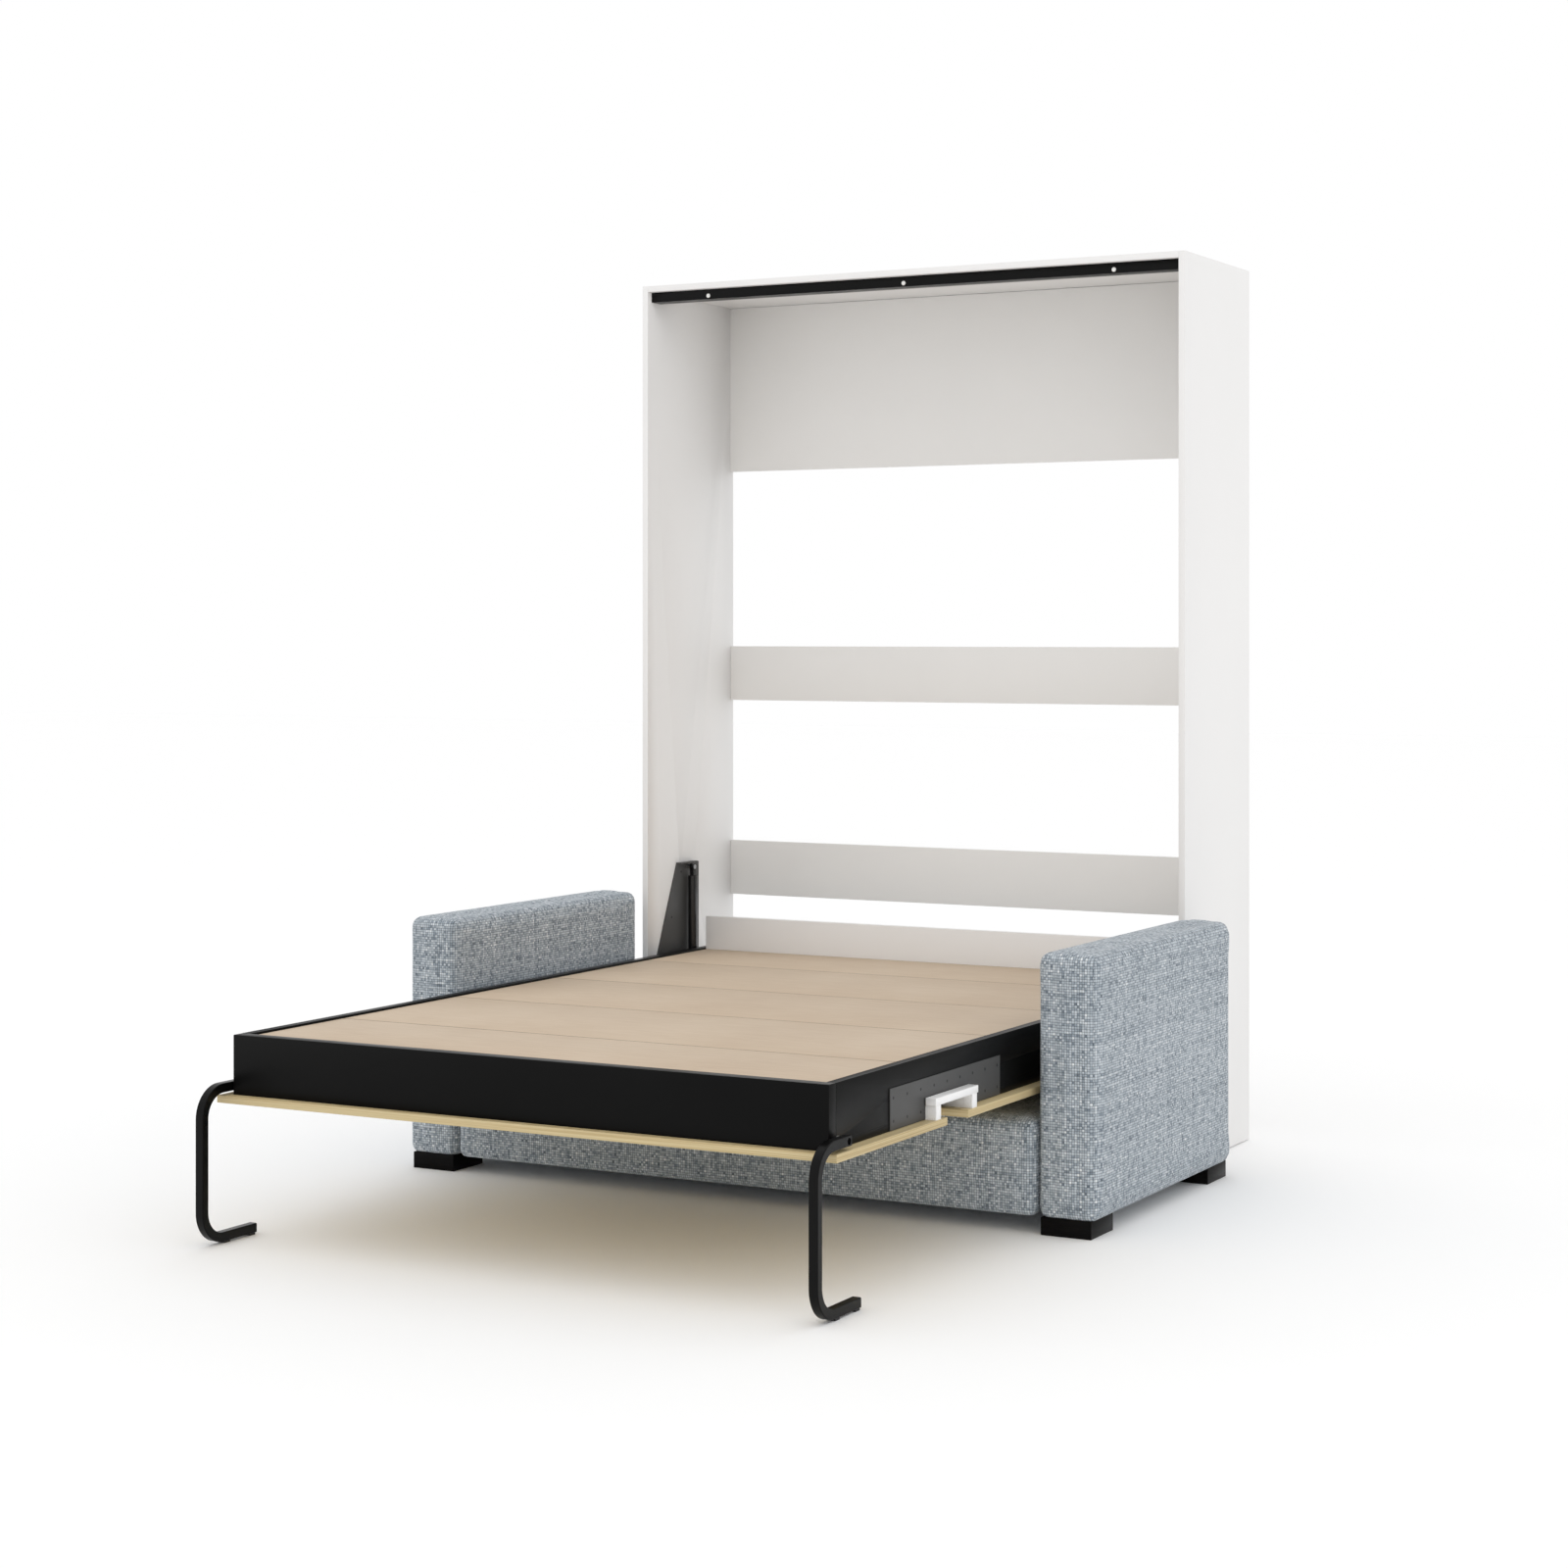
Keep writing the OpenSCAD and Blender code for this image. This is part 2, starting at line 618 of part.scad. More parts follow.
module spring_cylinder(side) color("black") on_side(side) difference() {
    union() {
        bar_x(eye_r, spring_x - eye_w / 2, spring_x + eye_w / 2, spring_yy, pin_z);
        span([spring_x - eye_w / 2, spring_yy - 5, cylinder_top - 1],
            [spring_x + eye_w / 2, spring_yy + 5, pin_z]);
        translate([spring_x, spring_yy, cylinder_end])
            cylinder(r = cylinder_r, h = cylinder_top - cylinder_end);
    }
    bar_x(eye_pin_r + run_gap, spring_x - eye_w, spring_x + eye_w, spring_yy, pin_z);
    translate([spring_x, spring_yy, cylinder_end - 1])
        cylinder(r = cylinder_r - cylinder_wall, h = cylinder_top - cylinder_end - 5);
}

module rod_guide(side) color("gray") on_side(side) difference() {
    translate([spring_x, spring_yy, cylinder_end])
        cylinder(r = cylinder_r - cylinder_wall - seat_fit, h = guide_l);
    translate([spring_x, spring_yy, cylinder_end - 1]) cylinder(r = rod_r + run_gap, h = guide_l + 2);
}

module spring_rod(side) color("silver") on_side(side) difference() {
    union() {
        translate([spring_x, spring_yy, stud_z + 4]) cylinder(r = rod_r, h = piston_top - stud_z - 4);
        translate([spring_x, spring_yy, piston_top - piston_l])
            cylinder(r = cylinder_r - cylinder_wall - seat_fit, h = piston_l);
        bar_x(eye_r, spring_x - eye_w / 2, spring_x + eye_w / 2, spring_yy, stud_z);
        span([spring_x - eye_w / 2, spring_yy - 6, stud_z],
            [spring_x + eye_w / 2, spring_yy + 6, stud_z + 18]);
    }
    bar_x(eye_pin_r + seat_fit, spring_x - eye_w, spring_x + eye_w, spring_yy, stud_z);
}

// ---------- the nodes ----------

cabinet_side(-1);  // cabinet_side_left
cabinet_side(1);  // cabinet_side_right
cabinet_top();
upper_back_board();
middle_back_rail();
lower_back_rail();
floor_back_rail();
plinth_board();
stop_bar();
stop_bumpers();
cabinet_glides();
mechanism_bracket(-1);  // mechanism_bracket_left
mechanism_bracket(1);  // mechanism_bracket_right
bracket_screws();
pivot_bushes();
spring_top_pins();
sofa_spacers();
seat_upholstery();
seat_frame();
arm_upholstery(-1);  // arm_upholstery_left
arm_upholstery(1);  // arm_upholstery_right
arm_frame(-1);  // arm_frame_left
arm_frame(1);  // arm_frame_right
sofa_feet(-1);  // sofa_feet_left
sofa_feet(1);  // sofa_feet_right
front_panel();
frame_side(-1);  // frame_side_left
frame_side(1);  // frame_side_right
frame_foot_rail();
frame_head_rail();
cross_beams();
deck_board(1);  // deck_board_1
deck_board(2);  // deck_board_2
deck_board(3);  // deck_board_3
deck_board(4);  // deck_board_4
deck_board(5);  // deck_board_5
headboard();
side_plate(-1);  // side_plate_left
side_plate(1);  // side_plate_right
plate_screws();
handle_bar(-1);  // handle_bar_left
handle_bar(1);  // handle_bar_right
handle_posts();
pivot_plate(-1);  // pivot_plate_left
pivot_plate(1);  // pivot_plate_right
pivot_pins();
spring_studs();
leg_bolts();
leg_spacers();
leg_tube_part(-1);  // leg_tube_left
leg_tube_part(1);  // leg_tube_right
leg_caps(-1);  // leg_caps_left
leg_caps(1);  // leg_caps_right
spring_cylinder(-1);  // spring_cylinder_left
spring_cylinder(1);  // spring_cylinder_right
spring_rod(-1);  // spring_rod_left
spring_rod(1);  // spring_rod_right
rod_guide(-1);  // rod_guide_left
rod_guide(1);  // rod_guide_right
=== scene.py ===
"""A wall bed that folds down over a low upholstered sofa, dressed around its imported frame.

Everything is in metres, in the frame's own axes: X across the bed, +Y from the foot of the bed to the
wall, +Z up. Boards keep the frame's shapes with their arrises eased, the upholstery is inflated as cloth
over blocks that fit the frame's boxes, and each surface is dressed as the material it is made of.
"""

import json
import logging
import math
from dataclasses import dataclass, field
from enum import Enum

import bmesh
import bpy
import numpy as np
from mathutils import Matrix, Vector, noise

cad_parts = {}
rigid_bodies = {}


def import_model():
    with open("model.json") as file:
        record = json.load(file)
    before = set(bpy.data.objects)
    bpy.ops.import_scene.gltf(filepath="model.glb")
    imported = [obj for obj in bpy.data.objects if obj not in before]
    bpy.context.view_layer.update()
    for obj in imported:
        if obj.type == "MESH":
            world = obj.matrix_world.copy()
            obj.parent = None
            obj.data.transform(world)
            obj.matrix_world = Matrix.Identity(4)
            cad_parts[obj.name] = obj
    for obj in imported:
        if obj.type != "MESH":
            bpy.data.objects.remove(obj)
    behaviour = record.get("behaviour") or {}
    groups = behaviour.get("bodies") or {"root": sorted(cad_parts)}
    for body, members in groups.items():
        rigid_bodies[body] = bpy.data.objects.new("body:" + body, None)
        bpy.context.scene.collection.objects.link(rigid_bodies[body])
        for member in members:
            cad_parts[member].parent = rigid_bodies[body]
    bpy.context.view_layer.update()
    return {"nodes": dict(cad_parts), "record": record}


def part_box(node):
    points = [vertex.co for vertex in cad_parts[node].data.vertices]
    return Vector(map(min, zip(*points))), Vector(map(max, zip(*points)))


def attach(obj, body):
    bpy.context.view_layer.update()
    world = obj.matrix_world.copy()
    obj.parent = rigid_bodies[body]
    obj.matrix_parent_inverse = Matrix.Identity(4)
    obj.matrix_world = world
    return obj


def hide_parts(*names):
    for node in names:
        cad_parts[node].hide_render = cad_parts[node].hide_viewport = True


for left_over in list(bpy.data.objects):
    bpy.data.objects.remove(left_over)

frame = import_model()

LOG = logging.getLogger("wall_bed")
MM = 0.001
BODY_OF = {node: body for body, nodes in frame["record"]["behaviour"]["bodies"].items() for node in nodes}
SIDES = {"left": -1, "right": 1}


class Axis(Enum):
    """The three axes, as places in a vector."""

    X = 0
    Y = 1
    Z = 2


# ---------- colours and nodes ----------


def hex_linear(code: str) -> tuple[float, float, float, float]:
    """Turns an sRGB hex colour to linear light.

    Args:
        code: Six hex digits, with or without a leading hash.

    Returns:
        Red, green, blue and an alpha of 1.
    """
    digits = code.lstrip("#")
    shares = [int(digits[i : i + 2], 16) / 255 for i in (0, 2, 4)]
    linear = [s / 12.92 if s <= 0.04045 else ((s + 0.055) / 1.055) ** 2.4 for s in shares]
    return linear[0], linear[1], linear[2], 1.0


def add_node(
    tree: bpy.types.NodeTree, kind: str, inputs: dict[str | int, object] | None = None, **settings: object
) -> bpy.types.Node:
    """Adds a shader node with its settings, its values and its links.

    Args:
        tree: The node tree to add to.
        kind: The node's type name, without the ShaderNode that they all begin with.
        inputs: Input name or index to a value, or to the output socket to link.
        settings: Attributes of the node. A ramp's stops are a list of (position, hex colour).

    Returns:
        The new node.
    """
    node = tree.nodes.new(f"ShaderNode{kind}")
    stops = settings.pop("stops", None)
    for name, value in settings.items():
        setattr(node, name, value)
    if stops:
        elements = node.color_ramp.elements
        while len(elements) < len(stops):
            elements.new(0.5)
        for element, (position, code) in zip(elements, stops):
            element.position = position
            element.color = hex_linear(code)
    for name, value in (inputs or {}).items():
        if isinstance(value, bpy.types.NodeSocket):
            tree.links.new(value, node.inputs[name])
        else:
            node.inputs[name].default_value = value
    return node


# ---------- finishes ----------

# Noise seldom leaves this range, so ramps run over it.
NOISE_LOW, NOISE_HIGH = 0.3, 0.7
# Steps that take each yarn, and each of the cloth's two directions, to a part of the noise of its own.
YARN_STEP, AXIS_STEP = 7.31, 31.7
_made: dict[str, bpy.types.Material] = {}


@dataclass(frozen=True)
class Finish:
    """A surface finish: one material, made once and shared.

    Its colour is an sRGB hex value. Subclasses add their pattern in dress().
    """

    name: str
    colour: str
    roughness: float
    metallic: float = 0.0
    specular: float = 0.5

    def material(self) -> bpy.types.Material:
        """Gives the finish's material, making it the first time.

        Returns:
            The Blender material.
        """
        if self.name not in _made:
            material = bpy.data.materials.new(self.name)
            material.use_nodes = True
            tree = material.node_tree
            tree.nodes.clear()
            values = {
                "Base Color": hex_linear(self.colour),
                "Roughness": self.roughness,
                "Metallic": self.metallic,
                "Specular IOR Level": self.specular,
            }
            shader = add_node(tree, "BsdfPrincipled", values)
            add_node(tree, "OutputMaterial", {"Surface": shader.outputs[0]})
            material.diffuse_color = hex_linear(self.colour)
            self.dress(tree, shader)
            _made[self.name] = material
        return _made[self.name]

    def dress(self, tree: bpy.types.NodeTree, shader: bpy.types.Node) -> None:
        """Adds the finish's pattern to its shader.

        Args:
            tree: The material's node tree.
            shader: The principled shader to feed.
        """

    def bump(
        self,
        tree: bpy.types.NodeTree,
        shader: bpy.types.Node,
        height: bpy.types.NodeSocket,
        depth: float,
        strength: float,
    ) -> None:
        """Feeds a height into the shader's normal.

        Args:
            tree: The material's node tree.
            shader: The principled shader.
            height: The output socket that gives the height, 0 to 1.
            depth: How deep the pattern is, in metres.
            strength: How much of it shows, 0 to 1.
        """
        relief = add_node(tree, "Bump", {"Height": height, "Distance": depth, "Strength": strength})
        tree.links.new(relief.outputs[0], shader.inputs["Normal"])


@dataclass(frozen=True)
class Mottled(Finish):
    """A plain surface that is never quite even: a broad tone drift, a fine grit and a drifting gloss."""

    other: str = "#ffffff"
    drift: float = 0.35
    grit: float = 0.0012
    depth: float = 0.00004
    gloss_drift: float = 0.06

    def dress(self, tree: bpy.types.NodeTree, shader: bpy.types.Node) -> None:
        """Adds the drift, the grit and the gloss.

        Args:
            tree: The material's node tree.
            shader: The principled shader to feed.
        """
        place = add_node(tree, "TexCoord").outputs["Object"]
        clouds = {"Vector": place, "Scale": 1 / self.drift, "Detail": 4.0, "Roughness": 0.55}
        broad = add_node(tree, "TexNoise", clouds).outputs["Fac"]
        stops = [(NOISE_LOW, self.colour), (NOISE_HIGH, self.other)]
        tone = add_node(tree, "ValToRGB", {"Fac": broad}, stops=stops).outputs["Color"]
        tree.links.new(tone, shader.inputs["Base Color"])
        specks = {"Vector": place, "Scale": 1 / self.grit, "Detail": 2.0}
        fine = add_node(tree, "TexNoise", specks).outputs["Fac"]
        spread = {
            "Value": broad,
            "From Min": NOISE_LOW,
            "From Max": NOISE_HIGH,
            "To Min": self.roughness - self.gloss_drift,
            "To Max": self.roughness + self.gloss_drift,
        }
        gloss = add_node(tree, "MapRange", spread).outputs[0]
        tree.links.new(gloss, shader.inputs["Roughness"])
        self.bump(tree, shader, fine, self.depth, strength=0.5)


@dataclass(frozen=True)
class Grained(Finish):
    """Wood with its grain along each face's longer run: streaks, pores and a slow change of tone."""

    dark: str = "#a08550"
    light: str = "#d8c79c"
    streak: float = 0.0022
    run: float = 0.16
    along: Axis = Axis.Y
    end_along: Axis = Axis.X
    end_from: float = 0.7
    pore_depth: float = 0.00012

    def dress(self, tree: bpy.types.NodeTree, shader: bpy.types.Node) -> None:
        """Adds the grain, which runs along one axis, and along the other on the faces that look along it.

        Args:
            tree: The material's node tree.
            shader: The principled shader to feed.
        """
        coordinates = add_node(tree, "TexCoord")
        stretch = [1 / self.streak] * 3
        stretch[self.along.value] = 1 / self.run
        turned = [1 / self.streak] * 3
        turned[self.end_along.value] = 1 / self.run
        straight, across = (
            add_node(tree, "Mapping", {"Vector": coordinates.outputs["Object"], "Scale": scale}).outputs[0]
            for scale in (stretch, turned)
        )
        facing = add_node(tree, "SeparateXYZ", {0: coordinates.outputs["Normal"]}).outputs[self.along.value]
        steep = add_node(tree, "Math", {0: facing}, operation="ABSOLUTE").outputs[0]
        is_end = add_node(tree, "Math", {0: steep, 1: self.end_from}, operation="GREATER_THAN").outputs[0]
        sides = {"Factor": is_end, "A": straight, "B": across}
        place = add_node(tree, "Mix", sides, data_type="VECTOR").outputs[1]
        fibres = {"Vector": place, "Scale": 1.0, "Detail": 5.0, "Distortion": 0.6}
        streaks = add_node(tree, "TexNoise", fibres).outputs["Fac"]
        stops = [(NOISE_LOW, self.dark), (0.48, self.colour), (NOISE_HIGH, self.light)]
        tone = add_node(tree, "ValToRGB", {"Fac": streaks}, stops=stops).outputs["Color"]
        tree.links.new(tone, shader.inputs["Base Color"])
        self.bump(tree, shader, streaks, self.pore_depth, strength=0.5)


@dataclass(frozen=True)
class Hardboard(Finish):
    """Beige hardboard whose edges are painted dark: darker sawn fibre, and painted shade in the joints
    between the boards.

    Its pressed fibres lie mostly across the bed, under a faint cloudy tone. A face takes the dark edge
    colour, which is sawn fibre and painted shade in the boards' joints, where the upward part of its normal
    is less than flat.
    """

    dark: str = "#bda78f"
    light: str = "#d0bea8"
    fibre: float = 0.0025
    fibre_run: float = 0.07
    cloud: float = 0.3
    cloud_share: float = 0.35
    # Painted shade: the edges' dark colour stands for the shade in the joints between the boards as well as
    # for the sawn fibre.
    sawn_and_joint_shade: str = "#6f5c4a"
    flat: float = 0.97
    depth: float = 0.0001

    def dress(self, tree: bpy.types.NodeTree, shader: bpy.types.Node) -> None:
        """Adds the fibres, the clouds and the sawn edges.

        Args:
            tree: The material's node tree.
            shader: The principled shader to feed.
        """
        coordinates = add_node(tree, "TexCoord")
        place = coordinates.outputs["Object"]
        scale = (1 / self.fibre_run, 1 / self.fibre, 1 / self.fibre)
        lengthwise = add_node(tree, "Mapping", {"Vector": place, "Scale": scale}).outputs[0]
        pressed = {"Vector": lengthwise, "Scale": 1.0, "Detail": 6.0, "Roughness": 0.6}
        fibres = add_node(tree, "TexNoise", pressed).outputs["Fac"]
        broad = {"Vector": place, "Scale": 1 / self.cloud, "Detail": 3.0}
        clouds = add_node(tree, "TexNoise", broad).outputs["Fac"]
        shares = {"Factor": self.cloud_share, "A": fibres, "B": clouds}
        both = add_node(tree, "Mix", shares, data_type="FLOAT").outputs[0]
        stops = [(0.32, self.dark), (0.5, self.colour), (0.68, self.light)]
        tone = add_node(tree, "ValToRGB", {"Fac": both}, stops=stops).outputs["Color"]
        upward = add_node(tree, "SeparateXYZ", {0: coordinates.outputs["Normal"]}).outputs[Axis.Z.value]
        # Painted shade: every face that is not flat, each board's edges and chamfers, takes the dark edge
        # colour that draws the joints.
        edge = add_node(tree, "Math", {0: upward, 1: self.flat}, operation="LESS_THAN").outputs[0]
        colours = {"Factor": edge, 6: tone, 7: hex_linear(self.sawn_and_joint_shade)}
        board = add_node(tree, "Mix", colours, data_type="RGBA").outputs[2]
        tree.links.new(board, shader.inputs["Base Color"])
        self.bump(tree, shader, fibres, self.depth, strength=0.4)


@dataclass(frozen=True)
class HeatherWeave(Finish):
    """A plain weave of slubby, unevenly dyed yarn.

    Each crossing shows either its warp or its weft yarn. A yarn's tone wanders along its length, and some
    yarns are darker all along, so the cloth reads as short dark and light dashes that run both ways. A face
    takes the cloth of the axis that it looks along within an eighth of a turn, whose cosine is face_turn.
    """

    shadow: str = "#66717c"
    dark: str = "#949fa9"
    light: str = "#cad2d9"
    bright: str = "#eef1f3"
    face_turn: float = 0.707
    gap_shade: float = 0.42
    gap_width: float = 0.5
    own_share: float = 0.16
    speck_share: float = 0.2
    sheen: float = 0.2
    sheen_roughness: float = 0.5
    yarn: float = 0.0056
    weft_slub: float = 0.016
    warp_slub: float = 0.013
    depth: float = 0.0011

    def face_place(self, tree: bpy.types.NodeTree) -> bpy.types.NodeSocket:
        """Lays the cloth's two directions on each face by the way it looks, in yarns.

        Args:
            tree: The material's node tree.

        Returns:
            A vector socket: X and Y are the place on the cloth, counted in yarns.
        """
        coordinates = add_node(tree, "TexCoord")
        place = add_node(tree, "SeparateXYZ", {0: coordinates.outputs["Object"]}).outputs
        facing = add_node(tree, "SeparateXYZ", {0: coordinates.outputs["Normal"]}).outputs
        steep = [add_node(tree, "Math", {0: f}, operation="ABSOLUTE").outputs[0] for f in facing]
        is_side, is_top = (
            add_node(tree, "Math", {0: share, 1: self.face_turn}, operation="GREATER_THAN").outputs[0]
            for share in (steep[Axis.X.value], steep[Axis.Z.value])
        )
        choices = (
            {"Factor": is_side, "A": place[0], "B": place[1]},
            {"Factor": is_top, "A": place[2], "B": place[1]},
        )
        across, up = (add_node(tree, "Mix", choice, data_type="FLOAT").outputs[0] for choice in choices)
        flat = add_node(tree, "CombineXYZ", {0: across, 1: up}).outputs[0]
        return add_node(tree, "VectorMath", {0: flat, 3: 1 / self.yarn}, operation="SCALE").outputs[0]

    def yarns(
        self, tree: bpy.types.NodeTree, place: bpy.types.NodeSocket, axis: Axis
    ) -> bpy.types.NodeSocket:
        """Gives the tone of the yarns that run along one axis of the cloth.

        Args:
            tree: The material's node tree.
            place: The place on the cloth, in yarns.
            axis: The way these yarns run.

        Returns:
            A socket with the tone, 0 to 1.
        """
        parts = add_node(tree, "SeparateXYZ", {0: place}).outputs
        run, beside = (parts[0], parts[1]) if axis is Axis.X else (parts[1], parts[0])
        slub = self.weft_slub if axis is Axis.X else self.warp_slub
        which = add_node(tree, "Math", {0: beside}, operation="FLOOR").outputs[0]
        apart = add_node(tree, "Math", {0: which, 1: YARN_STEP}, operation="MULTIPLY").outputs[0]
        slow = add_node(tree, "Math", {0: run, 1: self.yarn / slub}, operation="MULTIPLY").outputs[0]
        spot = add_node(tree, "CombineXYZ", {0: slow, 1: apart, 2: axis.value * AXIS_STEP}).outputs[0]
        slubs = {"Vector": spot, "Scale": 1.0, "Detail": 2.0, "Roughness": 0.7}
        along = add_node(tree, "TexNoise", slubs).outputs["Fac"]
        own_spot = add_node(tree, "CombineXYZ", {1: which, 2: axis.value * 3.0 + 1.0}).outputs[0]
        own = add_node(tree, "TexWhiteNoise", {"Vector": own_spot}, noise_dimensions="3D").outputs["Value"]
        shares = {"Factor": self.own_share, "A": along, "B": own}
        return add_node(tree, "Mix", shares, data_type="FLOAT").outputs[0]

    def dress(self, tree: bpy.types.NodeTree, shader: bpy.types.Node) -> None:
        """Weaves the cloth.

        Args:
            tree: The material's node tree.
            shader: The principled shader to feed.
        """
        place = self.face_place(tree)
        checks = add_node(tree, "TexChecker", {"Vector": place, "Scale": 1.0}).outputs["Fac"]
        weft = self.yarns(tree, place, Axis.X)
        warp = self.yarns(tree, place, Axis.Y)
        tone = add_node(tree, "Mix", {"Factor": checks, "A": weft, "B": warp}, data_type="FLOAT").outputs[0]
        cell = add_node(tree, "VectorMath", {0: place}, operation="FLOOR").outputs[0]
        speck = add_node(tree, "TexWhiteNoise", {"Vector": cell}, noise_dimensions="3D").outputs["Value"]
        shares = {"Factor": self.speck_share, "A": tone, "B": speck}
        mixed = add_node(tree, "Mix", shares, data_type="FLOAT").outputs[0]
        dyes = (self.shadow, self.dark, self.colour, self.light, self.bright)
        stops = list(zip((0.26, 0.40, 0.50, 0.60, 0.74), dyes))
        colour = add_node(tree, "ValToRGB", {"Fac": mixed}, stops=stops).outputs["Color"]
        inside = add_node(tree, "VectorMath", {0: place}, operation="FRACTION").outputs[0]
        halves = add_node(tree, "SeparateXYZ", {0: inside}).outputs[:2]
        turns = [add_node(tree, "Math", {0: h, 1: math.pi}, operation="MULTIPLY").outputs[0] for h in halves]
        arches = [add_node(tree, "Math", {0: t}, operation="SINE").outputs[0] for t in turns]
        knob = add_node(tree, "Math", {0: arches[0], 1: arches[1]}, operation="MULTIPLY").outputs[0]
        shade = {"Value": knob, "From Max": self.gap_width, "To Min": self.gap_shade, "To Max": 1.0}
        gap = add_node(tree, "MapRange", shade).outputs[0]
        shaded = add_node(tree, "VectorMath", {0: colour, 3: gap}, operation="SCALE").outputs[0]
        tree.links.new(shaded, shader.inputs["Base Color"])
        self.bump(tree, shader, knob, self.depth, strength=0.6)
        shader.inputs["Sheen Weight"].default_value = self.sheen
        shader.inputs["Sheen Roughness"].default_value = self.sheen_roughness


@dataclass(frozen=True)
class Brushed(Finish):
    """Plated steel with fine brush lines, which stretch its highlights."""

    line: float = 0.0006
    line_run: float = 0.05
    depth: float = 0.00002

    def dress(self, tree: bpy.types.NodeTree, shader: bpy.types.Node) -> None:
        """Adds the brush lines.

        Args:
            tree: The material's node tree.
            shader: The principled shader to feed.
        """
        place = add_node(tree, "TexCoord").outputs["Object"]
        scale = (1 / self.line, 1 / self.line, 1 / self.line_run)
        lines = add_node(tree, "Mapping", {"Vector": place, "Scale": scale}).outputs[0]
        scratch = add_node(tree, "TexNoise", {"Vector": lines, "Scale": 1.0, "Detail": 2.0}).outputs["Fac"]
        self.bump(tree, shader, scratch, self.depth, strength=0.4)


# Low-pressure melamine on particle board: matt, clean, with a faint pearl grit.
WHITE_BOARD = Mottled(
    "white_melamine", "#ecebea", 0.48, specular=0.35, other="#efeeed", drift=0.5, grit=0.0016
)
# The back boards' melamine: a shade warmer than the sides' and a touch more matt.
BACK_BOARD = Mottled(
    "back_board_melamine", "#ecebe9", 0.5, specular=0.35, other="#efeeec", drift=0.5, grit=0.0016
)
# Foil-wrapped board: near black, satin, so a long highlight follows each rail.
BLACK_FOIL = Mottled(
    "black_foil_board", "#0a0a0a", 0.36, specular=0.08, other="#0d0d0d", drift=0.2, grit=0.001
)
# Black powder coat on tube: satin with a slight orange peel.
BLACK_COAT = Mottled(
    "black_powder_coat",
    "#060606",
    0.32,
    specular=0.13,
    other="#0a0a0a",
    drift=0.1,
    grit=0.0014,
    depth=0.00006,
)
# Dark grey powder coat on laser-cut plate: satin and even, lighter than the tubes.
GREY_COAT = Mottled(
    "grey_powder_coat", "#3d3d3d", 0.46, other="#444443", drift=0.08, grit=0.0012, depth=0.00006
)
# Light oak veneer and its edging tape: straight pale grain with darker pores.
OAK = Grained("light_oak_veneer", "#c6b184", 0.5, dark="#ae9767", light="#d4c499", streak=0.0024, run=0.6)
# Planed pine for what the padding hides: warm, with broad streaks.
PINE = Grained("planed_pine", "#c8a877", 0.6, dark="#a9824f", light="#dcc195", streak=0.005, run=0.3)
# Hardboard: matt pressed fibre with fine lines, and dark edges that draw the boards' joints: sawn fibre with
# painted shade.
DECK = Hardboard("beige_hardboard", "#c7b39b", 0.62)
# Upholstery: chunky, matt heather cloth of short dark and light dashes, its yarns 5.6 mm apart.
WEAVE = HeatherWeave("blue_grey_heather_weave", "#b6bfc7", 0.92, specular=0.2)
# Lacquered beech blocks: near black, satin, with the grain just felt through the lacquer.
BLACK_LACQUER = Grained(
    "black_lacquered_beech",
    "#0b0a0a",
    0.32,
    specular=0.06,
    dark="#070707",
    light="#121110",
    streak=0.002,
    run=0.05,
    along=Axis.X,
    end_along=Axis.Y,
    pore_depth=0.00005,
)
# Moulded plastics: ABS for the handle, polyamide for caps and bushes, soft vinyl for bumpers and glides.
WHITE_ABS = Mottled("white_abs", "#f4f4f3", 0.34, other="#f8f8f8", drift=0.06, grit=0.0008, depth=0.00002)
BLACK_NYLON = Mottled("black_polyamide", "#101010", 0.5, other="#161616", drift=0.03, grit=0.0008)
GREY_NYLON = Mottled("grey_polyamide", "#8c8c8a", 0.48, other="#969694", drift=0.03, grit=0.0008)
WHITE_VINYL = Mottled(
    "white_vinyl", "#efefec", 0.55, other="#f4f4f1", drift=0.02, grit=0.0006, depth=0.00002
)
# Metals: zinc plate on the pins, black oxide on the screws, hard chrome on the rods.
ZINC = Brushed("zinc_plated_steel", "#b9bbbd", 0.36, 1.0)
BLACK_OXIDE = Mottled(
    "black_oxide_steel", "#1b1b1c", 0.42, metallic=0.6, other="#222223", drift=0.01, grit=0.0008
)
CHROME = Brushed("hard_chrome", "#d6d7d8", 0.1, 1.0)
# Baked enamel on the gas springs' cylinders: black, with a long clear highlight.
BLACK_ENAMEL = Mottled(
    "black_enamel", "#121213", 0.2, other="#151516", drift=0.05, grit=0.002, depth=0.00001, gloss_drift=0.03
)


# ---------- shapes ----------


def dress(piece: bpy.types.Object, finish: Finish) -> None:
    """Gives a piece one finish.

    Args:
        piece: The object to dress.
        finish: Its finish.
    """
    piece.data.materials.clear()
    piece.data.materials.append(finish.material())


def new_piece(name: str, shape: bmesh.types.BMesh) -> bpy.types.Object:
    """Makes an object of a shape and frees the shape.

    Args:
        name: The object's name.
        shape: The bmesh to turn into its mesh.

    Returns:
        The new object, linked to the scene.
    """
    mesh = bpy.data.meshes.new(name)
    shape.to_mesh(mesh)
    shape.free()
    piece = bpy.data.objects.new(name, mesh)
    bpy.context.scene.collection.objects.link(piece)
    return piece


def bake_modifiers(piece: bpy.types.Object) -> None:
    """Applies all of a piece's modifiers to its mesh.

    Args:
        piece: The object to change.
    """
    graph = bpy.context.evaluated_depsgraph_get()
    mesh = bpy.data.meshes.new_from_object(piece.evaluated_get(graph))
    piece.modifiers.clear()
    old = piece.data
    piece.data = mesh
    bpy.data.meshes.remove(old)


